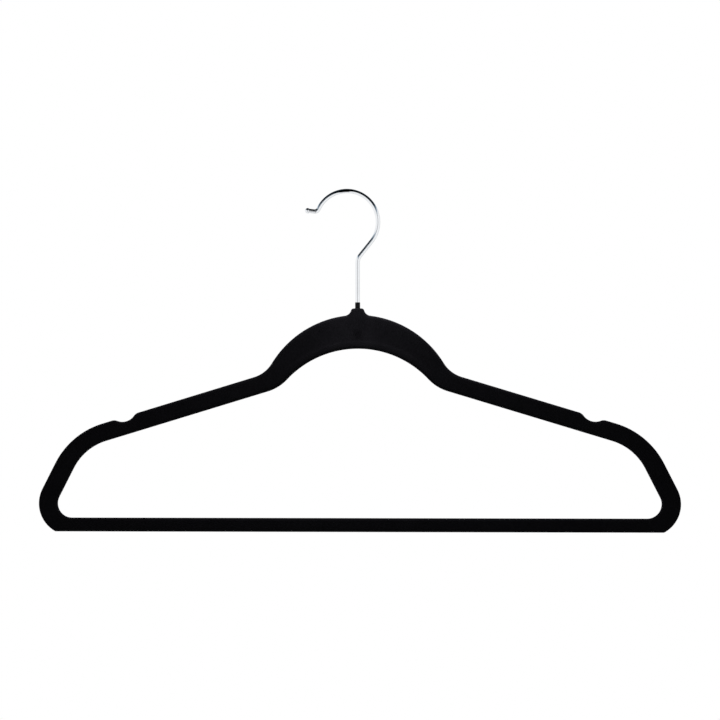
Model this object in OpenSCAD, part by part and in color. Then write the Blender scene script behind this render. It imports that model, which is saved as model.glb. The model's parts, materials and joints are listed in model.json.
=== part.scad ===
// Slim velvet clothes hanger with a swivelling wire hook.
//
// Origin: underside of the hook's crown, where a rail carries it.
// +X is the hanger's length, +Y runs along the rail, +Z is up. Millimetres.
// The frame is drawn in its own plane, [x from the swivel axis, z from the bar's underside],
// and then set in place below the hook.

/* [Frame outline] */
// Overall length of the frame
frame_w = 445; // [430:5:460]
// Height of the trouser bar
bar_h = 9.6; // [8:0.1:11]
// Height of the yoke's crown above the bar's underside
yoke_z = 150.4; // [149:0.2:152]
// Radius of the yoke's crown
yoke_r = 70; // [68:0.5:72]
// Radius of the yoke's underside
yoke_under_r = 67.2; // [65:0.1:69]
// Depth of the yoke at its middle
yoke_depth = 23.5; // [21:0.1:25]
// Slope of the arms below the horizontal, in degrees
arm_slope = 16.9; // [16:0.1:18]
// Height at which the two arms' top edges would meet
arm_peak_z = 129.2; // [127:0.1:131]
// Width of an arm
arm_w = 12.35; // [11:0.05:13]
// Hollow radius where an arm's top edge turns up into the yoke
root_r = 22; // [20:1:28]
// Round radius where an arm's underside turns up into the yoke
root_under_r = 30.5; // [27:0.5:38]
// Radius of the shoulder
shoulder_r = 54.3; // [50:0.1:56]
// Radius of the shoulder's underside
shoulder_under_r = 37.5; // [35:0.5:40]
// Slope of the legs above the horizontal, in degrees
leg_slope = 63.2; // [62:0.1:65]
// Width of a leg
leg_w = 13.15; // [12:0.05:14]
// Radius of the lower corners
corner_r = 22.3; // [20:0.1:24]
// Radius inside the lower corners
corner_under_r = 10; // [8:0.5:11]

/* [Strap notches] */
// Distance of each notch from the swivel axis
notch_x = 164.2; // [162:0.1:165]
// Radius of a notch
notch_r = 10; // [9:0.1:11]
// Depth of a notch below the arm's top edge
notch_depth = 3.35; // [2.5:0.05:3.5]
// Radius that eases a notch's two edges
notch_edge_r = 6; // [2:0.1:6.5]

/* [Section and boss] */
// Thickness of the frame over the flock
frame_t = 5; // [4.6:0.1:5.6]
// Thickness of the flock
flock_t = 0.5; // [0.4:0.05:0.6]
// Thickness of the full-width middle of the section
edge_t = 3; // [2.6:0.1:3.2]
// Amount by which the section's outer layers are set back
edge_set = 0.8; // [0.6:0.1:1]
// Diameter of the boss that holds the swivel
boss_d = 8; // [7.8:0.1:8.6]
// Height of the boss's flat top above the yoke's crown
boss_rise = 4.5; // [4:0.1:5]
// Width of the boss's flat top
boss_flat_w = 5.5; // [5:0.1:6]
// Radius of the boss's upper corners
boss_corner_r = 1.9; // [1.6:0.1:2]
// Radius of the flare from the boss into the crown
boss_flare_r = 5.2; // [3.5:0.1:5.5]
// Length of the boss
boss_l = 19.1; // [18.8:0.1:21]

/* [Hook] */
// Diameter of the wire
wire_d = 3; // [2.9:0.05:3.1]
// Height of the rail seat above the bar's underside
hook_rise = 235.3; // [232:0.1:240]
// Inner radius of the hook
hook_in_r = 20.3; // [19:0.1:21]
// Distance of the swivel axis from the middle of the hook's arc
swivel_x = 7.6; // [6:0.1:9]
// Lean of the wire between the shank and the arc, from the vertical, in degrees
hook_lean = 38.7; // [36:0.1:42]
// Centreline radius of the bend above the shank
shank_bend_r = 7.6; // [6:0.1:9]
// Angle at which the arc ends and the tip begins, in degrees
tip_start = 155; // [150:1:160]
// Centreline radius of the tip's reverse bend
tip_bend_r = 2.8; // [2.6:0.1:3.4]
// Angle that the tip's reverse bend turns through, in degrees
tip_turn = 72; // [66:1:78]
// Distance from the tip's bend to the middle of the ball
tip_l = 4.6; // [4:0.1:6]
// Diameter of the ball
ball_d = 3.7; // [3.6:0.1:4.6]
// Outer diameter of the sleeve on the shank
sleeve_d = 3.5; // [3.3:0.05:3.6]
// Length of sleeve that stands above the boss
sleeve_show = 4.2; // [3:0.1:5]

/* [Swivel] */
// Radial clearance of the shank in its bush
run_gap = 0.05; // [0.03:0.01:0.08]
// Free play between pieces that turn against each other
play = 0.1; // [0.08:0.01:0.15]
// Diameter of the bush's barrel
bush_d = 4.4; // [4.3:0.1:4.6]
// Diameter of the bush's flanges
flange_d = 5.4; // [5.2:0.1:5.6]
// Thickness of the bush's flanges
flange_t = 1.2; // [1:0.1:1.4]
// Length of the bush
bush_l = 9.5; // [8.5:0.1:9.5]
// Depth of the bush's top below the boss's flat top
bush_drop = 3.4; // [3:0.1:3.5]
// Thickness of the retaining washer
washer_t = 0.5; // [0.4:0.05:0.6]
// Diameter of the retaining washer
washer_d = 4.8; // [4.7:0.05:4.9]
// Diameter of the shank's headed end
head_d = 4.4; // [4.2:0.1:4.6]
// Height of the shank's headed end
head_h = 1.5; // [1.2:0.1:1.6]

/* [Hidden] */
$fn = 96;
// Every other stretch of wire is this much fuller in radius, and its neighbours end inside it.
// The discs of an outline's arcs are fuller by as much, so that they cross the edges they touch.
hair = 0.01;
// Length by which the thinner stretches run into the fuller ones
lap = 0.15;

// Lines are [direction of the outward normal in degrees, distance from the drawing's origin].
arm_normal = 90 - arm_slope;
leg_normal = 90 - leg_slope;
corner_pos = [frame_w / 2 - corner_r, bar_h + corner_under_r];
arm_top = [arm_normal, arm_peak_z * sin(arm_normal)];
arm_under = [arm_normal, arm_top[1] - arm_w];
leg_out = [leg_normal, corner_pos * unit(leg_normal) + corner_r];
leg_in = [leg_normal, leg_out[1] - leg_w];
bar_top = [-90, -bar_h];

// Centres of the frame's arcs
yoke_pos = [0, yoke_z - yoke_r];
yoke_under_pos = [0, yoke_z - yoke_depth - yoke_under_r];
shoulder_pos = crossing(shifted(arm_top, -shoulder_r), shifted(leg_out, -shoulder_r));
shoulder_under_pos = crossing(shifted(arm_under, -shoulder_under_r), shifted(leg_in, -shoulder_under_r));
corner_under_pos = crossing(shifted(leg_in, -corner_under_r), shifted(bar_top, -corner_under_r));
root_pos = resting(yoke_pos, yoke_r + root_r, shifted(arm_top, root_r));
root_under_pos = resting(yoke_under_pos, yoke_under_r + root_under_r, shifted(arm_under, root_under_r));

// A notch and its eased edges; notch_half is the angle of each edge's centre off the arm's normal.
notch_lift = notch_r - notch_depth;
notch_pos = crossing(shifted(arm_top, notch_lift), [0, notch_x]);
notch_half = acos((notch_lift + notch_edge_r) / (notch_r + notch_edge_r));
notch_edge_pos = [for (side = [1, -1])
    notch_pos - (notch_r + notch_edge_r) * unit(arm_normal + side * notch_half)];

// The boss's upper corner, and the flare that runs from it into the crown
boss_z = yoke_z + boss_rise;
boss_corner_pos = [boss_flat_w / 2, boss_z - boss_corner_r];
flare_pos = touching(yoke_pos, yoke_r + boss_flare_r, boss_corner_pos, boss_corner_r + boss_flare_r);

// Heights in the swivel, counted above the bar's underside
hole_r = sleeve_d / 2 + 1.5 * play;
bush_top_z = boss_z - bush_drop;
bush_low_z = bush_top_z - bush_l;
washer_z = bush_low_z - play - washer_t;
chamber_z = washer_z - head_h - 5 * play;

// Hook centreline in the plane of the hook, with the rail seat as origin
wire_r = wire_d / 2;
full_r = wire_r + hair;
hook_r = hook_in_r + full_r;
hook_pos = [0, -hook_in_r];
lean_end = hook_pos + hook_r * unit(-hook_lean);
bend_run = shank_bend_r * tan(hook_lean / 2);
lean_l = (lean_end[0] - swivel_x) / sin(hook_lean) - bend_run;
bend_end = lean_end - lean_l * unit(90 - hook_lean);
bend_pos = bend_end - shank_bend_r * unit(180 - hook_lean);
tip_bend_pos = hook_pos + (hook_r + tip_bend_r) * unit(tip_start);
tip_bend_low = tip_start - 180 - tip_turn;
tip_bend_end = tip_bend_pos + tip_bend_r * unit(tip_bend_low);
tip_heading = tip_bend_low - 90;
ball_pos = tip_bend_end + tip_l * unit(tip_heading);
ball_grip = 0.25 * ball_d;
head_z = washer_z - head_h - hook_rise;

// Unit vector at an angle
function unit(angle) = [cos(angle), sin(angle)];
// A line moved outward along its normal
function shifted(line, by) = [line[0], line[1] + by];
// Point where two lines cross
function crossing(a, b) =
    (a[1] * unit(b[0] - 90) - b[1] * unit(a[0] - 90)) / sin(b[0] - a[0]);
// Point on a line at a given distance from a centre, on the side away from the swivel axis
function resting(centre, distance, line) =
    let (height = line[1] - centre * unit(line[0]))
    centre + height * unit(line[0]) + sqrt(distance * distance - height * height) * unit(line[0] - 90);
// Point at given distances from two centres, on the right of the line from the first to the second
function touching(a, ra, b, rb) =
    let (span = norm(b - a), along = (ra * ra - rb * rb + span * span) / (2 * span), way = (b - a) / span)
    a + along * way + sqrt(ra * ra - along * along) * [way[1], -way[0]];
// Direction from one point to another
function bearing(from, to) = atan2(to[1] - from[1], to[0] - from[0]);

// An outline is a list of arcs [centre, radius, start angle, end angle] joined by straight edges.
// A rising angle is a round corner and a falling angle a hollow.
function is_round(arc) = arc[3] > arc[2];
function grown_r(arc, grow) = arc[1] + (is_round(arc) ? grow : -grow);
function arc_end(arc, which, grow) = arc[0] + grown_r(arc, grow) * unit(arc[2 + which]);
function flipped(arcs) = [for (i = [len(arcs) - 1:-1:0]) let (arc = arcs[i])
    [[-arc[0][0], arc[0][1]], arc[1], 180 - arc[3], 180 - arc[2]]];

// Right half of the frame's outside, from the bar's underside up to the boss
outer_arcs = [
    [corner_pos, corner_r, -90, leg_normal],
    [shoulder_pos, shoulder_r, leg_normal, arm_normal],
    [notch_edge_pos[0], notch_edge_r, arm_normal, arm_normal + notch_half],
    [notch_pos, notch_r, arm_normal + notch_half + 180, arm_normal - notch_half + 180],
    [notch_edge_pos[1], notch_edge_r, arm_normal - notch_half, arm_normal],
    [root_pos, root_r, arm_normal + 180, bearing(root_pos, yoke_pos) + 360],
    [yoke_pos, yoke_r, bearing(yoke_pos, root_pos), bearing(yoke_pos, flare_pos)],
    [flare_pos, boss_flare_r, bearing(flare_pos, yoke_pos) + 360,
     bearing(flare_pos, boss_corner_pos) + 360],
    [boss_corner_pos, boss_corner_r, bearing(boss_corner_pos, flare_pos), 90],
];

// Right half of the opening inside the frame, from the bar up to the yoke's underside
inner_arcs = [
    [corner_under_pos, corner_under_r, -90, leg_normal],
    [shoulder_under_pos, shoulder_under_r, leg_normal, arm_normal],
    [root_under_pos, root_under_r, arm_normal + 180, bearing(root_under_pos, yoke_under_pos) + 360],
    [yoke_under_pos, yoke_under_r, bearing(yoke_under_pos, root_under_pos), 90],
];

// The discs of an outline's round corners, or of its hollows
module arc_discs(arcs, grow, round_ones) {
    for (arc = arcs) if (is_round(arc) == round_ones)
        translate(arc[0]) circle(grown_r(arc, grow) + hair);
}

// Outline with every round corner grown, and every hollow shrunk, by the same amount,
// and nothing below a floor
module arc_outline(arcs, grow, floor_z) {
    difference() {
        union() {
            polygon([for (arc = arcs, which = [0, 1]) arc_end(arc, which, grow)]);
            arc_discs(arcs, grow, true);
        }
        arc_discs(arcs, grow, false);
        translate([-frame_w, floor_z - frame_w]) square([2 * frame_w, frame_w]);
    }
}

// Frame outline, set in by a given amount all round
module frame_outline(inset) {
    difference() {
        arc_outline(concat(outer_arcs, flipped(outer_arcs)), -inset, inset);
        arc_outline(concat(inner_arcs, flipped(inner_arcs)), inset, bar_h - inset);
    }
}

// Stands a drawing up in the frame's plane, centred on it
module upright(thickness) {
    rotate([90, 0, 0]) linear_extrude(thickness, center = true) children();
}

// Everything inside stands on the swivel axis, with heights above the bar's underside
module at_frame() {
    translate([swivel_x, 0, -hook_rise]) children();
}

// Boss: a round post with eased upper corners and a round lower end
module boss(skin) {
    r = boss_d / 2;
    foot_z = boss_z - boss_l + r;
    ease = r - boss_flat_w / 2;
    profile = [[[0, foot_z], r, -90, 0], [[r - ease, boss_z - ease], ease, 0, 90]];
    rotate_extrude() intersection() {
        arc_outline(concat(profile, flipped(profile)), -skin, 0);
        translate([0, foot_z - 2 * r]) square([2 * r, boss_l + 2 * r]);
    }
}

// Outer form of the moulding, with a skin of the given thickness taken off
module form(skin) {
    upright(edge_t - 2 * skin) frame_outline(skin);
    upright(frame_t - 2 * skin) frame_outline(skin + edge_set);
    boss(skin);
}

// Hole that the shank and its sleeve come out of
module shank_hole() {
    translate([0, 0, bush_top_z]) cylinder(r = hole_r, h = bush_drop + flock_t);
}

// Bush with a flange at each end
module bush_form() {
    for (z = [bush_low_z, bush_top_z - flange_t])
        translate([0, 0, z]) cylinder(d = flange_d, h = flange_t);
    translate([0, 0, bush_low_z + flange_t]) cylinder(d = bush_d, h = bush_l - 2 * flange_t);
}

// Stiff plastic moulding: arms, yoke, legs and bar in one, with the swivel's socket in its boss
module frame_core() {
    color("dimgray") at_frame() difference() {
        form(flock_t);
        shank_hole();
        bush_form();
        translate([0, 0, chamber_z]) cylinder(d = washer_d + 3 * play, h = bush_low_z - chamber_z);
    }
}

// Short-pile flock that covers the moulding all over
module flock_coating() {
    color([0.05, 0.05, 0.06]) at_frame() difference() {
        form(0);
        form(flock_t);
        shank_hole();
    }
}

// Bearing for the shank, held in the boss by its flanges
module swivel_bush() {
    color("ivory") at_frame() difference() {
        bush_form();
        translate([0, 0, bush_low_z]) cylinder(r = wire_r + run_gap, h = bush_l);
    }
}

// Bent stretch of wire in the hook's plane
module wire_bend(centre, bend_r, from, turn, r) {
    translate([centre[0], 0, centre[1]]) rotate([90, 0, 0])
        rotate_extrude(angle = turn, start = from) translate([bend_r, 0]) circle(r);
}

// Straight stretch of wire in the hook's plane, from a point and along a heading
module wire_run(from, heading, length, r) {
    translate([from[0], 0, from[1]]) rotate([0, 90 - heading, 0]) cylinder(r = r, h = length);
}

// Hook: headed end, shank, bend, leaning stretch, arc, reverse bend and tip
module hook_wire() {
    lean_from = bend_end - lap * unit(90 - hook_lean);
    tip_lap = lap / tip_bend_r * 180 / PI;
    color("silver") {
        translate([swivel_x, 0, head_z]) cylinder(d = head_d, h = head_h);
        wire_run([swivel_x, head_z], 90, bend_pos[1] + lap - head_z, wire_r);
        wire_bend(bend_pos, shank_bend_r, 180 - hook_lean, hook_lean, full_r);
        wire_run(lean_from, 90 - hook_lean, lean_l + 2 * lap, wire_r);
        wire_bend(hook_pos, hook_r, -hook_lean, hook_lean + tip_start, full_r);
        wire_bend(tip_bend_pos, tip_bend_r, tip_bend_low - tip_lap, tip_turn + 2 * tip_lap, wire_r);
        wire_run(tip_bend_end, tip_heading, tip_l + ball_grip, full_r);
    }
}

// Thin sleeve gripped on the shank, from just above the bush to clear of the boss
module neck_sleeve() {
    low_z = bush_top_z + play;
    color([0.08, 0.08, 0.08]) at_frame() translate([0, 0, low_z]) difference() {
        cylinder(d = sleeve_d, h = boss_z + sleeve_show - low_z);
        cylinder(r = wire_r, h = boss_z + sleeve_show - low_z);
    }
}

// Washer between the bush and the shank's headed end
module retaining_washer() {
    color("gainsboro") at_frame() translate([0, 0, washer_z]) difference() {
        cylinder(d = washer_d, h = washer_t);
        cylinder(r = wire_r + run_gap, h = washer_t);
    }
}

// Ball pressed on the end of the wire
module tip_ball() {
    color("silver") difference() {
        translate([ball_pos[0], 0, ball_pos[1]]) sphere(d = ball_d);
        wire_run(tip_bend_end, tip_heading, tip_l + ball_grip, full_r);
    }
}

frame_core();
flock_coating();
swivel_bush();
hook_wire();
neck_sleeve();
retaining_washer();
tip_ball();
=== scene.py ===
"""Looks for the flocked clothes hanger: a velvet frame on a bright plated swivel hook."""
import json
import math
from functools import partial

import bpy
import numpy as np
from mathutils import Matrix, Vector


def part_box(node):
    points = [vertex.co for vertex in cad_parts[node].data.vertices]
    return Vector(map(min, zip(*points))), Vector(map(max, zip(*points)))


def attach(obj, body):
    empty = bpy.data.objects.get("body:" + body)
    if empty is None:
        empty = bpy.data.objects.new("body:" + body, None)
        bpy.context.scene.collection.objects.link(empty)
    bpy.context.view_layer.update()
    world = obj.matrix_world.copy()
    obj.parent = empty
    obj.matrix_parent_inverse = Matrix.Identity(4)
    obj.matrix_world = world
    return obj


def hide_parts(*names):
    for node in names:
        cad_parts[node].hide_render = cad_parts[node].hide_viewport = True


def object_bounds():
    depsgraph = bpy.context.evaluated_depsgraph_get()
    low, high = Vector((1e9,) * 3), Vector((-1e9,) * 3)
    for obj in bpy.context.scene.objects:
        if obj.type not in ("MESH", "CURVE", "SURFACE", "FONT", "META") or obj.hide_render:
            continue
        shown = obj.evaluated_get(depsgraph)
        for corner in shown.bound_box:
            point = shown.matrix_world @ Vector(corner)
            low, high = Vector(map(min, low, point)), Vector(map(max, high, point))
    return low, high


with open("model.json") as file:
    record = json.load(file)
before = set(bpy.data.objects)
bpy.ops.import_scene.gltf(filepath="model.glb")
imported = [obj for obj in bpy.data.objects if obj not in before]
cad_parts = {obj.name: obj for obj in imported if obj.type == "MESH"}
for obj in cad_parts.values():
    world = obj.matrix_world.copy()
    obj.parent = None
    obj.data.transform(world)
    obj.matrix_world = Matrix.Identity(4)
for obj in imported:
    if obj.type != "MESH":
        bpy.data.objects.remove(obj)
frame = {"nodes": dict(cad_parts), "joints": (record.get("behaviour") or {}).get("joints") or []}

CAD_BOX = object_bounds()
MM = 0.001

# ---------------------------------------------------------------- places taken from the frame, in mm
FLOCK_LOW, FLOCK_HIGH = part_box("flock_coating")   # these two are in metres
SWIVEL_X = frame["joints"][0]["pos_m"][0] / MM
BAR_Z = FLOCK_LOW.z / MM                       # underside of the trouser bar
BOSS_TOP = (FLOCK_HIGH.z - FLOCK_LOW.z) / MM   # flat top of the boss above the bar's underside
BOSS_R = (FLOCK_HIGH.y - FLOCK_LOW.y) / MM / 2

# ---------------------------------------------------------------- shape of the frame, in mm
# Heights are above the bar's underside, X is from the swivel axis, and slopes are in degrees.
# A name with UNDER is of the opening's side of the outline, and W is a width.
FRAME_W = 445.0                                  # overall width
BAR_H = 9.6
YOKE_TOP, YOKE_R = 150.4, 70.0
YOKE_UNDER, YOKE_UNDER_R = 126.9, 67.2
ARM_SLOPE, ARM_PEAK, ARM_W = 16.9, 129.2, 12.35  # the arms' upper edges would meet at ARM_PEAK
ROOT_R, ROOT_UNDER_R = 22.0, 30.5                # hollow bend where an arm meets the yoke
SHOULDER_R, SHOULDER_UNDER_R = 54.3, 37.5
LEG_SLOPE, LEG_W = 63.2, 13.15
CORNER_R, CORNER_UNDER_R = 22.3, 10.0
NOTCH_X, NOTCH_R, NOTCH_DEPTH, NOTCH_EDGE_R = 164.2, 10.0, 3.35, 6.0
BOSS_FLAT, BOSS_CORNER_R, BOSS_FLARE_R, BOSS_L = 2.75, 1.9, 5.2, 19.1

HALF_T = 2.5                     # half the frame's thickness
EDGE_R = 2.15                    # radius of its rounded edges
BOSS_INSET = 1.6                 # furthest that the small boss corner can be set in
BOSS_BLEND = 1.1                 # width of the soft fillet between boss and face
BOSS_SINK = 0.25 * BOSS_BLEND    # lowers the boss by what that fillet adds where the two are level
BOSS_TAIL = 6.8                  # the boss ends this far below the foot of the core's boss,
BOSS_TAIL_L = 12.0               # after it has narrowed over this length
BOSS_TAIL_R = 1.2                # to this radius
DISH_DEPTH = 0.42                # depth of the dish in the yoke's face
DISH_RIM = (4.0, 6.0)            # it starts and is fully deep this far from the opening's edge,
DISH_FADE = (2.0, 15.0)          # runs out between these distances from the outer edge
DISH_SPAN = (34.0, 58.0)         # and runs out sideways between these distances from the axis

# Mesh steps in each stretch of the outline, from the middle of the bar to the middle of the boss
BAR_STEPS, CORNER_STEPS, LEG_STEPS, SHOULDER_STEPS = 66, 22, 8, 26
ARM_END_STEPS, NOTCH_EDGE_STEPS, NOTCH_STEPS, ARM_STEPS = 5, 7, 18, 40
ROOT_STEPS, CROWN_STEPS, FLARE_STEPS, NUB_STEPS, TOP_STEPS = 14, 44, 14, 9, 9
CROWN_CROWDING = 0.85            # under 1, the yoke's points stand closer together towards the boss
EDGE_ROWS, FACE_STEPS = 8, 26    # rows round an edge, and steps across the face

# ---------------------------------------------------------------- shape of the hook, in mm
WIRE_R = 1.5
HOOK_IN_R = 20.3
HOOK_LEAN = 38.7                 # lean of the stretch between shank and arc, in degrees
SHANK_BEND_R = 7.6
TIP_START, TIP_TURN = 155.0, 72.0                # the arc's end and the reverse bend's turn, in degrees
TIP_BEND_R, TIP_RUN = 2.8, 4.6
HEAD_R, HEAD_H = 2.2, 1.5
BALL_R = 1.85
BALL_POLE = 1.5                  # angle at which the ball's outside starts, in degrees
BORE_END = 0.9                   # the ball's bore ends this far beyond its middle,
BORE_POLE_R = 0.03               # and its end face stops this far from its axis
BORE_GAP = 0.02                  # between the wire and what is bored for it
MOUTH_R_GAP, MOUTH_L = 0.12, 0.1                 # eased mouth of the ball's bore
SLEEVE_EASE = 0.12               # radius of the sleeve's rims
RUB_FROM, RUB_TO = -19.0, -22.5  # the plating grows dull between these two places along X,
RUB_ROUGHNESS = 0.26             # by this much roughness

SHANK_STEPS, BEND_STEPS, LEAN_STEPS, ARC_STEPS, TIP_STEPS, RUN_STEPS = 60, 16, 10, 110, 20, 8
WIRE_SIDES, LATHE_SIDES, BALL_ROWS, RIM_ROWS = 40, 64, 36, 6

# ---------------------------------------------------------------- colours, a pair from dark to light
PILE_COLOURS = ((0.0066, 0.0063, 0.0078), (0.033, 0.0315, 0.0384))
NAP_SHADES = ((0.75, 0.75, 0.76), (1.0, 1.0, 1.0))
SHEEN_TINT = (0.6, 0.6, 0.68, 1)
PLATING_COLOURS = ((0.845, 0.865, 0.89), (0.91, 0.93, 0.955))
SLEEVE_COLOURS = ((0.0036, 0.0036, 0.0042), (0.009, 0.009, 0.0102))
MOULDING_COLOURS = ((0.012, 0.012, 0.013), (0.02, 0.02, 0.021))
BUSH_COLOURS = ((0.72, 0.70, 0.62), (0.80, 0.78, 0.71))
STEEL_COLOURS = ((0.42, 0.42, 0.43), (0.56, 0.56, 0.57))
FLOOR_COLOUR = (0.9, 0.9, 0.9, 1)
CEILING_TINT = (0.35, 0.68, 1.0, 1)
WHITE = (1, 1, 1, 1)

# Size of each noise, as its number of features along a metre
FIBRE_SCALE, NAP_SCALE, POLISH_SCALE, STEEL_SCALE = 3200, 90, 400, 2000
SLEEVE_SCALE, MOULDING_SCALE, BUSH_SCALE = 900, 1500, 1200
MIDDLE = (0.3, 0.7)              # part of a noise's range that most of its values lie in


# ================================================================ plane geometry
def unit(angle):
    a = np.radians(angle)
    return np.stack([np.cos(a), np.sin(a)], axis=-1)


def crossing(a, b):
    """Point where two lines [normal's angle, distance from the origin] cross."""
    return (a[1] * unit(b[0] - 90) - b[1] * unit(a[0] - 90)) / math.sin(math.radians(b[0] - a[0]))


def shifted(line, by):
    return (line[0], line[1] + by)


def resting(centre, distance, line):
    """Point on a line at a distance from a centre, on the side away from the swivel axis."""
    height = line[1] - centre @ unit(line[0])
    return centre + height * unit(line[0]) + math.sqrt(distance ** 2 - height ** 2) * unit(line[0] - 90)


def touching(a, ra, b, rb):
    """Point at two distances from two centres, on the right of the line from the first to the second."""
    span = float(np.linalg.norm(b - a))
    along = (ra ** 2 - rb ** 2 + span ** 2) / (2 * span)
    way = (b - a) / span
    return a + along * way + math.sqrt(ra ** 2 - along ** 2) * np.array([way[1], -way[0]])


def bearing(start, end):
    return math.degrees(math.atan2(end[1] - start[1], end[0] - start[0])) % 360


def smooth(low, high, x):
    t = np.clip((x - low) / (high - low), 0, 1)
    return t * t * (3 - 2 * t)


def smooth_max(a, b, width):
    h = np.clip(0.5 + 0.5 * (a - b) / width, 0, 1)
    return b + (a - b) * h + width * h * (1 - h)


def arc(centre, radius, start, end, t, inset):
    """Points on an arc, set in from the outside of the solid. A falling angle is a hollow."""
    r = radius - inset if end > start else radius + inset
    return centre + np.reshape(r, (-1, 1)) * unit(start + (end - start) * t)


def steps(count):
    return np.linspace(0, 1, count + 1)


def run(start, end, t):
    return start + np.outer(t, np.asarray(end) - np.asarray(start))


# ================================================================ outline of the frame
# Points are [X from the swivel axis, height above the bar's underside], for the right-hand half
ARM_ANGLE, LEG_ANGLE = 90 - ARM_SLOPE, 90 - LEG_SLOPE
CORNER = np.array([FRAME_W / 2 - CORNER_R, BAR_H + CORNER_UNDER_R])
ARM_TOP = (ARM_ANGLE, ARM_PEAK * math.sin(math.radians(ARM_ANGLE)))
ARM_UNDER = shifted(ARM_TOP, -ARM_W)
LEG_OUT = (LEG_ANGLE, float(CORNER @ unit(LEG_ANGLE)) + CORNER_R)
LEG_IN = shifted(LEG_OUT, -LEG_W)
YOKE = np.array([0, YOKE_TOP - YOKE_R])
YOKE_LOW = np.array([0, YOKE_UNDER - YOKE_UNDER_R])
SHOULDER = crossing(shifted(ARM_TOP, -SHOULDER_R), shifted(LEG_OUT, -SHOULDER_R))
SHOULDER_LOW = crossing(shifted(ARM_UNDER, -SHOULDER_UNDER_R), shifted(LEG_IN, -SHOULDER_UNDER_R))
CORNER_LOW = crossing(shifted(LEG_IN, -CORNER_UNDER_R), (-90, -BAR_H - CORNER_UNDER_R))
ROOT = resting(YOKE, YOKE_R + ROOT_R, shifted(ARM_TOP, ROOT_R))
ROOT_LOW = resting(YOKE_LOW, YOKE_UNDER_R + ROOT_UNDER_R, shifted(ARM_UNDER, ROOT_UNDER_R))
NOTCH_LIFT = NOTCH_R - NOTCH_DEPTH
NOTCH = crossing(shifted(ARM_TOP, NOTCH_LIFT), (0, NOTCH_X))
NOTCH_HALF = math.degrees(math.acos((NOTCH_LIFT + NOTCH_EDGE_R) / (NOTCH_R + NOTCH_EDGE_R)))
NOTCH_OUTER, NOTCH_INNER = (NOTCH - (NOTCH_R + NOTCH_EDGE_R) * unit(ARM_ANGLE + side * NOTCH_HALF)
                            for side in (1, -1))
BOSS_CORNER = np.array([BOSS_FLAT, BOSS_TOP - BOSS_CORNER_R])
FLARE = touching(YOKE, YOKE_R + BOSS_FLARE_R, BOSS_CORNER, BOSS_CORNER_R + BOSS_FLARE_R)


def notched_arm(start, end, inset):
    """Upper edge of the arm from the shoulder to the yoke's root, with its strap notch."""
    outer_turn, inner_turn = ARM_ANGLE + NOTCH_HALF, ARM_ANGLE - NOTCH_HALF
    edge_out = arc(NOTCH_OUTER, NOTCH_EDGE_R, ARM_ANGLE, outer_turn, steps(NOTCH_EDGE_STEPS), inset)
    hollow = arc(NOTCH, NOTCH_R, outer_turn + 180, inner_turn + 180, steps(NOTCH_STEPS), inset)
    edge_in = arc(NOTCH_INNER, NOTCH_EDGE_R, inner_turn, ARM_ANGLE, steps(NOTCH_EDGE_STEPS), inset)
    return np.vstack([run(start, edge_out[0], steps(ARM_END_STEPS))[1:-1], edge_out, hollow[1:-1],
                      edge_in, run(edge_in[-1], end, steps(ARM_STEPS))[1:-1]])


def crown_and_boss(inset):
    """Top of the yoke from the root of the arm, with the boss's flared side and flat top."""
    near_boss = inset * BOSS_INSET / EDGE_R
    crown_t = steps(CROWN_STEPS) ** CROWN_CROWDING
    crown = arc(YOKE, YOKE_R, bearing(YOKE, ROOT), bearing(YOKE, FLARE), crown_t, inset)
    flare_t = steps(FLARE_STEPS)
    flare_inset = inset + flare_t * (near_boss - inset)
    flare = arc(FLARE, BOSS_FLARE_R, bearing(FLARE, YOKE), bearing(FLARE, BOSS_CORNER), flare_t, flare_inset)
    nub_start = bearing(BOSS_CORNER, FLARE)
    nub = arc(BOSS_CORNER, BOSS_CORNER_R, nub_start, 90, steps(NUB_STEPS), near_boss)
    top = run(nub[-1], (0, BOSS_TOP - near_boss), steps(TOP_STEPS))
    return np.vstack([crown[1:], flare[1:], nub[1:], top[1:]])


def outer_half(inset):
    """Right half of the outside, from the bar's underside to the top of the boss, in seven stretches."""
    low = -math.degrees(math.asin((CORNER[1] - inset) / (CORNER_R - inset)))
    corner = arc(CORNER, CORNER_R, low, LEG_ANGLE, steps(CORNER_STEPS), inset)
    shoulder = arc(SHOULDER, SHOULDER_R, LEG_ANGLE, ARM_ANGLE, steps(SHOULDER_STEPS), inset)
    root = arc(ROOT, ROOT_R, ARM_ANGLE + 180, bearing(ROOT, YOKE), steps(ROOT_STEPS), inset)
    return [
        run((0, inset), corner[0], steps(BAR_STEPS)),
        corner[1:],
        run(corner[-1], shoulder[0], steps(LEG_STEPS))[1:-1],
        shoulder,
        notched_arm(shoulder[-1], root[0], inset),
        root,
        crown_and_boss(inset),
    ]


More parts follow.
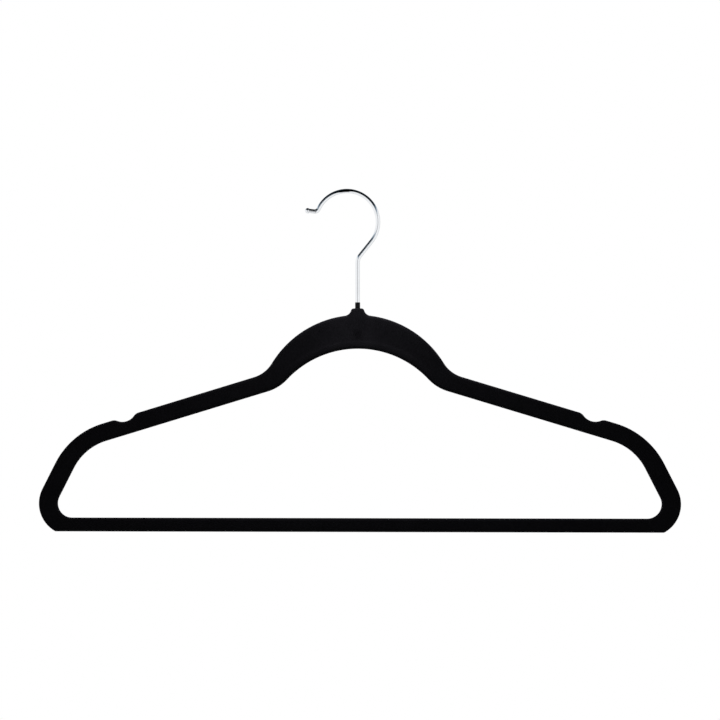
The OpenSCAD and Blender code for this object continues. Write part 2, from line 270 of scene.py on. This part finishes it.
def inner_half(inset, outer):
    """The matching half of the opening, with as many points in each stretch as the outside has."""
    out_bar, out_corner, out_leg, out_shoulder, out_arm, out_root, out_crown = outer
    corner = arc(CORNER_LOW, CORNER_UNDER_R, -90, LEG_ANGLE, steps(len(out_corner)), -inset)
    shoulder_t = steps(len(out_shoulder) - 1)
    shoulder = arc(SHOULDER_LOW, SHOULDER_UNDER_R, LEG_ANGLE, ARM_ANGLE, shoulder_t, -inset)
    root_end = bearing(ROOT_LOW, YOKE_LOW)
    root = arc(ROOT_LOW, ROOT_UNDER_R, ARM_ANGLE + 180, root_end, steps(len(out_root) - 1), -inset)
    up_arm = unit(ARM_ANGLE + 90)
    first, last = out_shoulder[-1] @ up_arm, out_root[0] @ up_arm
    arm_t = (out_arm @ up_arm - first) / (last - first)
    start_x = YOKE_UNDER_R * math.cos(math.radians(root_end - 180))
    x_share = out_crown[:, 0] / out_root[-1][0]
    angle = np.degrees(np.arccos(np.clip(x_share * start_x / YOKE_UNDER_R, -1, 1)))
    return [
        run((0, BAR_H - inset), corner[0], steps(len(out_bar) - 1)),
        corner[1:],
        run(corner[-1], shoulder[0], steps(len(out_leg) + 1))[1:-1],
        shoulder,
        run(shoulder[-1], root[0], arm_t),
        root,
        YOKE_LOW + (YOKE_UNDER_R + inset) * unit(angle),
    ]


def closed_ring(half):
    """The right half's points, and then their mirror images back down the left."""
    right = np.vstack(half)
    left = right[-2:0:-1] * [-1, 1]
    return np.vstack([right, left])


# ================================================================ mesh helpers
def mesh_object(name, vertices, faces, material, smooth_shade=True):
    mesh = bpy.data.meshes.new(name)
    mesh.from_pydata([tuple(v) for v in vertices], [], [tuple(f) for f in faces])
    mesh.validate()
    mesh.polygons.foreach_set("use_smooth", [smooth_shade] * len(mesh.polygons))
    mesh.update()
    piece = bpy.data.objects.new(name, mesh)
    bpy.context.scene.collection.objects.link(piece)
    mesh.materials.append(material)
    return piece


def ring_faces(first, second, columns, flip=False):
    """Quads between two closed rings of points, given the number of each ring's first point."""
    faces = []
    for j in range(columns):
        k = (j + 1) % columns
        quad = (first + j, first + k, second + k, second + j)
        faces.append(quad[::-1] if flip else quad)
    return faces


def grid_faces(rows, columns, offset=0, flip=False):
    """Quads of a grid of closed rings, stored row by row from the offset."""
    faces = []
    for i in range(rows - 1):
        faces += ring_faces(offset + i * columns, offset + (i + 1) * columns, columns, flip)
    return faces


def lathe(name, profile, origin, axis, material):
    """Turned piece: profile is [radius, height] in mm round a closed section, about an axis from origin."""
    up = Vector(axis).normalized()
    side = Vector((0, 1, 0))
    third = up.cross(side)
    points, count = [], len(profile)
    for k in range(LATHE_SIDES):
        a = 2 * math.pi * k / LATHE_SIDES
        out = side * math.cos(a) + third * math.sin(a)
        points += [(Vector(origin) + out * r + up * h) * MM for r, h in profile]
    faces = []
    for k in range(LATHE_SIDES):
        n = (k + 1) % LATHE_SIDES
        for i in range(count):
            j = (i + 1) % count
            faces.append((k * count + i, n * count + i, n * count + j, k * count + j))
    return mesh_object(name, points, faces, material)


# ================================================================ materials
def new_material(name):
    material = bpy.data.materials.new(name)
    material.use_nodes = True
    nodes = material.node_tree.nodes
    return material, nodes, material.node_tree.links, nodes["Principled BSDF"]


def object_noise(nodes, links, scale, detail, roughness):
    place = nodes.new("ShaderNodeTexCoord")
    texture = nodes.new("ShaderNodeTexNoise")
    texture.inputs["Scale"].default_value = scale
    texture.inputs["Detail"].default_value = detail
    texture.inputs["Roughness"].default_value = roughness
    links.new(place.outputs["Object"], texture.inputs["Vector"])
    return texture.outputs["Fac"]


def ramp(nodes, links, source, span, colours):
    """Colour that goes from the first to the second as source goes through the span."""
    node = nodes.new("ShaderNodeValToRGB")
    for element, position, colour in zip(node.color_ramp.elements, span, colours):
        element.position = position
        element.color = (*colour, 1)
    links.new(source, node.inputs["Fac"])
    return node.outputs["Color"]


def bump(nodes, links, shader, height, strength, distance):
    node = nodes.new("ShaderNodeBump")
    node.inputs["Strength"].default_value = strength
    node.inputs["Distance"].default_value = distance
    links.new(height, node.inputs["Height"])
    links.new(node.outputs["Normal"], shader.inputs["Normal"])


def math_node(nodes, links, operation, *values):
    """Output of a Math node fed with sockets or plain numbers."""
    node = nodes.new("ShaderNodeMath")
    node.operation = operation
    for socket, value in zip(node.inputs, values):
        if isinstance(value, (int, float)):
            socket.default_value = value
        else:
            links.new(value, socket)
    return node.outputs["Value"]


def soft_step(nodes, links, source, span, first=0.0, last=1.0):
    """Value that turns smoothly from first to last as source goes through the span."""
    node = nodes.new("ShaderNodeMapRange")
    node.interpolation_type = "SMOOTHSTEP"
    low, high = span
    for socket, value in (("From Min", low), ("From Max", high), ("To Min", first), ("To Max", last)):
        node.inputs[socket].default_value = value
    links.new(source, node.inputs["Value"])
    return node.outputs["Result"]


def flock_material():
    """Short nylon pile: near-black, with single fibres catching light and faint brushed patches."""
    material, nodes, links, shader = new_material("flock_black")
    fibres = object_noise(nodes, links, FIBRE_SCALE, detail=3, roughness=0.7)
    nap = object_noise(nodes, links, NAP_SCALE, detail=3, roughness=0.55)
    mix = nodes.new("ShaderNodeMix")
    mix.data_type = "RGBA"
    mix.blend_type = "MULTIPLY"
    mix.inputs["Factor"].default_value = 1.0
    links.new(ramp(nodes, links, fibres, (0.35, 0.75), PILE_COLOURS), mix.inputs["A"])
    links.new(ramp(nodes, links, nap, MIDDLE, NAP_SHADES), mix.inputs["B"])
    links.new(mix.outputs["Result"], shader.inputs["Base Color"])
    bump(nodes, links, shader, fibres, strength=0.5, distance=0.00025)
    shader.inputs["Roughness"].default_value = 0.95
    shader.inputs["Specular IOR Level"].default_value = 0.08
    shader.inputs["Sheen Weight"].default_value = 0.15
    shader.inputs["Sheen Roughness"].default_value = 0.45
    shader.inputs["Sheen Tint"].default_value = SHEEN_TINT
    return material


def chrome_material():
    """Bright plating with slightly uneven polish, dulled at the tip where rails and hands rub it."""
    material, nodes, links, shader = new_material("chrome_wire")
    polish = object_noise(nodes, links, POLISH_SCALE, detail=3, roughness=0.6)
    rough = nodes.new("ShaderNodeMapRange")
    rough.inputs["To Min"].default_value = 0.02
    rough.inputs["To Max"].default_value = 0.06
    links.new(polish, rough.inputs["Value"])
    place = nodes.new("ShaderNodeTexCoord")
    split = nodes.new("ShaderNodeSeparateXYZ")
    links.new(place.outputs["Object"], split.inputs["Vector"])
    rub = soft_step(nodes, links, split.outputs["X"], (RUB_TO * MM, RUB_FROM * MM), RUB_ROUGHNESS, 0.0)
    links.new(math_node(nodes, links, "ADD", rough.outputs["Result"], rub), shader.inputs["Roughness"])
    links.new(ramp(nodes, links, polish, MIDDLE, PLATING_COLOURS), shader.inputs["Base Color"])
    bump(nodes, links, shader, polish, strength=0.02, distance=0.0001)
    shader.inputs["Metallic"].default_value = 1.0
    return material


def plastic_material(name, colours, grain, roughness, gloss=0.5):
    """Moulded plastic with a fine surface grain."""
    material, nodes, links, shader = new_material(name)
    texture = object_noise(nodes, links, grain, detail=3, roughness=0.6)
    links.new(ramp(nodes, links, texture, MIDDLE, colours), shader.inputs["Base Color"])
    bump(nodes, links, shader, texture, strength=0.15, distance=0.00005)
    shader.inputs["Roughness"].default_value = roughness
    shader.inputs["Specular IOR Level"].default_value = gloss
    return material


def steel_material():
    """Pressed steel washer with a fine uneven surface."""
    material, nodes, links, shader = new_material("washer_steel")
    texture = object_noise(nodes, links, STEEL_SCALE, detail=2, roughness=0.6)
    links.new(ramp(nodes, links, texture, MIDDLE, STEEL_COLOURS), shader.inputs["Base Color"])
    bump(nodes, links, shader, texture, strength=0.1, distance=0.00005)
    shader.inputs["Metallic"].default_value = 1.0
    shader.inputs["Roughness"].default_value = 0.32
    return material


# ================================================================ flocked frame
def frame_rows():
    """Rings of points from the outside across the face to the opening, and their half depths."""
    turn = np.radians(np.linspace(0, 90, EDGE_ROWS))
    insets = EDGE_R * (1 - np.cos(turn))
    edge_t = HALF_T - EDGE_R + EDGE_R * np.sin(turn)
    outside = outer_half(0)
    outer = [closed_ring(outer_half(inset)) for inset in insets]
    inner = [closed_ring(inner_half(inset, outside)) for inset in insets]
    between = [outer[-1] + (inner[-1] - outer[-1]) * i / FACE_STEPS for i in range(1, FACE_STEPS)]
    plan = np.array(outer + between + inner[::-1])
    half_t = np.concatenate([edge_t, np.full(FACE_STEPS - 1, HALF_T), edge_t[::-1]])
    return plan, half_t[:, None] * np.ones(plan.shape[:2])


def dish_depth(plan):
    """Depth of the dish in the yoke's face, at points of the frame's plane."""
    from_outer = np.linalg.norm(plan - plan[0], axis=-1)
    from_inner = np.linalg.norm(plan - plan[-1], axis=-1)
    across = smooth(*DISH_RIM, from_inner) * smooth(*DISH_FADE, from_outer)
    dish = across * (1 - smooth(*DISH_SPAN, np.abs(plan[..., 0])))
    return DISH_DEPTH * dish * (plan[..., 1] > YOKE_LOW[1])


def boss_depth(x, z):
    """Half depth of the boss's round post at points of the frame's plane, and 0 beside and below it."""
    ease = BOSS_R - BOSS_FLAT
    foot = BOSS_TOP - BOSS_L - BOSS_TAIL
    from_top = np.clip(BOSS_TOP - z, 0, ease)
    radius = BOSS_FLAT + np.sqrt(np.clip(ease ** 2 - (ease - from_top) ** 2, 0, None))
    radius = radius - (BOSS_R - BOSS_TAIL_R) * (1 - smooth(foot, foot + BOSS_TAIL_L, z))
    return np.where(z < foot, 0, np.sqrt(np.clip(radius ** 2 - x ** 2, 0, None)))


def flock_piece(material):
    """Skin of the whole frame: a front and a back sheet that meet on the rims."""
    plan, slab = frame_rows()
    x, z = plan[..., 0], plan[..., 1]
    face = slab - dish_depth(plan)
    post = boss_depth(x, z)
    depth = np.minimum(smooth_max(face, post - BOSS_SINK, BOSS_BLEND), BOSS_R)
    depth = np.where(post > 0, depth, face)

    rows, columns = plan.shape[:2]
    sheets = [np.stack([x + SWIVEL_X, side * depth, z + BAR_Z], axis=-1) * MM for side in (-1, 1)]
    back = rows * columns
    inner_rim = (rows - 1) * columns
    faces = grid_faces(rows, columns, flip=True) + grid_faces(rows, columns, back)
    faces += ring_faces(0, back, columns)
    faces += ring_faces(inner_rim, back + inner_rim, columns, flip=True)
    return mesh_object("velvet_frame", np.reshape(sheets, (-1, 3)), faces, material)


# ================================================================ hook
def hook_centreline():
    """Points of the wire's centreline in the XZ plane, the ball's centre, and the wire's heading there."""
    eye = np.array([0.0, -HOOK_IN_R])
    arc_r = HOOK_IN_R + WIRE_R
    lean_end = eye + arc_r * unit(-HOOK_LEAN)
    bend_run = SHANK_BEND_R * math.tan(math.radians(HOOK_LEAN / 2))
    lean_l = (lean_end[0] - SWIVEL_X) / math.sin(math.radians(HOOK_LEAN)) - bend_run
    bend_end = lean_end - lean_l * unit(90 - HOOK_LEAN)
    bend = bend_end - SHANK_BEND_R * unit(180 - HOOK_LEAN)
    head = np.array([SWIVEL_X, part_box("hook_wire")[0].z / MM])
    tip_bend = eye + (arc_r + TIP_BEND_R) * unit(TIP_START)
    tip_from = TIP_START - 180
    heading = tip_from - TIP_TURN - 90
    stretches = [
        run(head, (SWIVEL_X, bend[1]), steps(SHANK_STEPS))[:-1],
        bend + SHANK_BEND_R * unit(180 - HOOK_LEAN * steps(BEND_STEPS)),
        run(bend_end, lean_end, steps(LEAN_STEPS))[1:-1],
        eye + arc_r * unit(-HOOK_LEAN + (HOOK_LEAN + TIP_START) * steps(ARC_STEPS)),
        (tip_bend + TIP_BEND_R * unit(tip_from - TIP_TURN * steps(TIP_STEPS)))[1:],
    ]
    tip_end = stretches[-1][-1]
    ball = tip_end + TIP_RUN * unit(heading)
    stretches.append(run(tip_end, ball, steps(RUN_STEPS))[1:])
    return np.vstack(stretches), ball, heading


def hook_piece(line, material):
    """Round wire swept along its centreline, with a headed lower end."""
    way = np.gradient(line, axis=0)
    way /= np.linalg.norm(way, axis=1)[:, None]
    normal = np.stack([way[:, 1], -way[:, 0]], axis=-1)
    rise = np.concatenate([[0], np.cumsum(np.linalg.norm(np.diff(line, axis=0), axis=1))])
    radius = np.where(rise < HEAD_H, HEAD_R, WIRE_R)
    angles = np.linspace(0, 2 * math.pi, WIRE_SIDES, endpoint=False)
    rings = []
    for centre, across, r in zip(line, normal, radius):
        ring = centre + np.outer(np.cos(angles), across) * r
        rings.append(np.stack([ring[:, 0], np.sin(angles) * r, ring[:, 1]], axis=-1))
    last = (len(line) - 1) * WIRE_SIDES
    faces = grid_faces(len(line), WIRE_SIDES)
    faces.append(tuple(range(WIRE_SIDES))[::-1])
    faces.append(tuple(range(last, last + WIRE_SIDES)))
    return mesh_object("plated_hook", np.vstack(rings) * MM, faces, material)


def ball_piece(centre, heading, material):
    """Bored ball on the wire's end, with a small eased edge where the wire enters."""
    entry = math.degrees(math.asin((WIRE_R + MOUTH_R_GAP) / BALL_R))
    outside = [(BALL_R * math.sin(math.radians(a)), BALL_R * math.cos(math.radians(a)))
               for a in np.linspace(BALL_POLE, 180 - entry, BALL_ROWS)]
    mouth = -BALL_R * math.cos(math.radians(entry))
    bore_r = WIRE_R + BORE_GAP
    inside = [(bore_r, mouth + MOUTH_L), (bore_r, BORE_END), (BORE_POLE_R, BORE_END)]
    way = unit(heading)
    return lathe("hook_ball", outside + inside, (centre[0], 0, centre[1]), (way[0], 0, way[1]), material)


def sleeve_piece(material):
    """Thin tube on the shank with rounded rims."""
    low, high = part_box("neck_sleeve")
    outer_r, length = (high.x - low.x) / MM / 2, (high.z - low.z) / MM
    rim_r, rim_z = outer_r - SLEEVE_EASE, length - SLEEVE_EASE
    profile = [(WIRE_R + BORE_GAP, 0), (rim_r, 0), (outer_r, SLEEVE_EASE)]
    profile += [(rim_r + SLEEVE_EASE * math.cos(a), rim_z + SLEEVE_EASE * math.sin(a))
                for a in np.linspace(0, math.pi / 2, RIM_ROWS)]
    profile += [(WIRE_R + BORE_GAP, length)]
    return lathe("shank_sleeve", profile, (SWIVEL_X, 0, low.z / MM), (0, 0, 1), material)


# ================================================================ build
flock = flock_piece(flock_material())
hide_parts("flock_coating")
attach(flock, "hanger_frame")

chrome = chrome_material()
hook_line, ball_centre, ball_heading = hook_centreline()
hook = hook_piece(hook_line, chrome)
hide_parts("hook_wire")
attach(hook, "hook")

ball = ball_piece(ball_centre, ball_heading, chrome)
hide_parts("tip_ball")
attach(ball, "hook")

sleeve = sleeve_piece(plastic_material("sleeve_black", SLEEVE_COLOURS, SLEEVE_SCALE, 0.5, gloss=0.12))
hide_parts("neck_sleeve")
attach(sleeve, "hook")

CAD_LOOKS = {
    "frame_core": plastic_material("moulding_black", MOULDING_COLOURS, MOULDING_SCALE, 0.5),
    "swivel_bush": plastic_material("bush_acetal", BUSH_COLOURS, BUSH_SCALE, 0.4),
    "retaining_washer": steel_material(),
}
for node, material in CAD_LOOKS.items():
    mesh = frame["nodes"][node].data
    mesh.materials.clear()
    mesh.materials.append(material)

# ================================================================ studio, in metres and degrees
VIEW_X, VIEW_Z = 1.65, 119.1     # the view's centre, in mm from the swivel axis and the bar's underside
VIEW_W = 0.4995                  # width of the scene seen at the hanger
SENSOR_W = 36                    # in mm
CAMERA_D = 1.5
CAMERA_YAW = 2.9                 # angle towards the hanger's right-hand end
CAMERA_DROP = 1.9                # angle below the level of the view's centre
FLOOR_DROP = 1.5                 # from the underside of the hanger on its rail down to the floor
FLOOR_HALF = 4.0                 # half the floor's width
FLOOR_GLOW = 0.95
LAMP_X, LAMP_Z = 3.0, 138.0      # the lamps' aim on the yoke, measured as the view's centre is
# Each kind of lamp: how far out and up it hangs, its size, the angle of its soft cone, and its watts
LAMPS = (
    ("broad", 0.065, 0.17, 0.08, 120.0, 0.75),
    ("close", 0.1, 0.07, 0.05, 42.0, 0.12),
)

# The surround is laid out by direction from the hanger: X right, Y away from the camera, Z up.
# A pair is where a part of it fades in or out.
WALL_LEVEL, CEILING_LEVEL, SEEN_LEVEL = 0.95, 0.013, 1.0
CEILING_HEIGHT, CEILING_TILT = 0.46, 0.22        # it starts at this Z, and higher by this share of Y
CEILING_EDGE = (-0.1, 0.07)                      # above that start
SIDE_WALLS = (0.1, 0.5)                          # the side walls begin where X is this much more than Z
GAP_EDGE, GAP_DEPTH, GAP_FOOT = (0.09, 0.17), (-0.25, 0.0), (-0.97, -0.8)    # along X, Y and Z
SHADE_START, SHADE_SPAN = (0.35, 0.75), (-0.3, 0.2)                          # along Y and X
SHADE_LEFT, SHADE_RIGHT = 0.12, 0.4              # share of the light that the far wall lacks
AMBIENT_SPAN = (-0.6, 0.9)                       # along Z, for the light on matt surfaces
AMBIENT_BELOW, AMBIENT_ABOVE = 0.063, 0.073


def make_camera():
    data = bpy.data.cameras.new("camera")
    data.sensor_width = SENSOR_W
    data.lens = SENSOR_W * CAMERA_D / VIEW_W
    camera = bpy.data.objects.new("camera", data)
    centre = Vector(((SWIVEL_X + VIEW_X) * MM, 0, (BAR_Z + VIEW_Z) * MM))
    yaw, drop = math.radians(CAMERA_YAW), math.radians(CAMERA_DROP)
    back = Vector((math.sin(yaw) * math.cos(drop), -math.cos(yaw) * math.cos(drop), -math.sin(drop)))
    camera.location = centre + back * CAMERA_D
    camera.rotation_euler = (-back).to_track_quat("-Z", "Y").to_euler()
    bpy.context.scene.collection.objects.link(camera)
    bpy.context.scene.camera = camera


def make_floor():
    """Pale floor, bright enough to run into the white surround without a line."""
    material, _, _, shader = new_material("floor_white")
    shader.inputs["Base Color"].default_value = FLOOR_COLOUR
    shader.inputs["Roughness"].default_value = 0.9
    shader.inputs["Emission Color"].default_value = WHITE
    shader.inputs["Emission Strength"].default_value = FLOOR_GLOW
    half, z = FLOOR_HALF, CAD_BOX[0].z - FLOOR_DROP
    corners = [(-half, -half, z), (half, -half, z), (half, half, z), (-half, half, z)]
    floor = mesh_object("floor", corners, [(0, 1, 2, 3)], material, smooth_shade=False)
    floor.visible_glossy = False
    floor.visible_diffuse = False


def spot_light(name, place, target, size, cone, power):
    data = bpy.data.lights.new(name, "SPOT")
    data.shadow_soft_size = size / 2
    data.spot_size = math.radians(cone)
    data.spot_blend = 1.0
    data.energy = power
    light = bpy.data.objects.new(name, data)
    light.location = place
    light.rotation_euler = (target - place).to_track_quat("-Z", "Y").to_euler()
    light.visible_glossy = False
    light.visible_camera = False
    bpy.context.scene.collection.objects.link(light)


def make_lights():
    """Soft lights above the yoke, in front and behind, that fall off along the arms and legs."""
    yoke = Vector((SWIVEL_X + LAMP_X, 0, BAR_Z + LAMP_Z)) * MM
    for kind, out, up, size, cone, power in LAMPS:
        for place, side in (("front", -1), ("back", 1)):
            from_yoke = Vector((0, side * out, up))
            spot_light(f"{place}_{kind}", yoke + from_yoke, yoke, size, cone, power)


def mirrored_room(calc, step, x, y, z):
    """Brightness of the room in a direction, and how far that direction is ceiling."""
    over_walls = calc("SUBTRACT", z, calc("MULTIPLY_ADD", y, CEILING_TILT, CEILING_HEIGHT))
    beside = calc("SUBTRACT", calc("ABSOLUTE", x), z)
    ceiling = calc("MULTIPLY", step(over_walls, CEILING_EDGE), step(beside, SIDE_WALLS, 1.0, 0.0))
    walls = calc("MULTIPLY_ADD", ceiling, CEILING_LEVEL - WALL_LEVEL, WALL_LEVEL)
    gap = calc("MULTIPLY", step(calc("ABSOLUTE", x), GAP_EDGE, 1.0, 0.0), step(y, GAP_DEPTH, 1.0, 0.0))
    gap = calc("MULTIPLY", gap, step(z, GAP_FOOT))
    shade = calc("MULTIPLY", step(y, SHADE_START), step(x, SHADE_SPAN, SHADE_LEFT, SHADE_RIGHT))
    lit = calc("MULTIPLY", calc("SUBTRACT", 1.0, gap), calc("SUBTRACT", 1.0, shade))
    return calc("MULTIPLY", walls, lit), ceiling


def make_world():
    """White to the camera, soft ambient light on matt surfaces, and for the plated wire a room to
    mirror: white walls, a bluish dark ceiling, and a dark gap behind the camera."""
    world = bpy.data.worlds.new("studio")
    bpy.context.scene.world = world
    world.use_nodes = True
    nodes, links = world.node_tree.nodes, world.node_tree.links
    calc, step = partial(math_node, nodes, links), partial(soft_step, nodes, links)
    place = nodes.new("ShaderNodeTexCoord")
    split = nodes.new("ShaderNodeSeparateXYZ")
    links.new(place.outputs["Generated"], split.inputs["Vector"])
    x, y, z = split.outputs
    mirrored, ceiling = mirrored_room(calc, step, x, y, z)
    ambient = step(z, AMBIENT_SPAN, AMBIENT_BELOW, AMBIENT_ABOVE)

    ray = nodes.new("ShaderNodeLightPath").outputs
    in_wire = calc("MULTIPLY", ray["Is Glossy Ray"], calc("SUBTRACT", mirrored, ambient))
    seen = calc("MULTIPLY", ray["Is Camera Ray"], SEEN_LEVEL)
    level = calc("MAXIMUM", calc("ADD", in_wire, ambient), seen)
    links.new(level, nodes["Background"].inputs["Strength"])
    tint = nodes.new("ShaderNodeMix")
    tint.data_type = "RGBA"
    tint.inputs["A"].default_value = WHITE
    tint.inputs["B"].default_value = CEILING_TINT
    links.new(calc("MULTIPLY", ceiling, ray["Is Glossy Ray"]), tint.inputs["Factor"])
    links.new(tint.outputs["Result"], nodes["Background"].inputs["Color"])


make_camera()
make_floor()
make_world()
make_lights()
bpy.context.scene.view_settings.view_transform = "Standard"
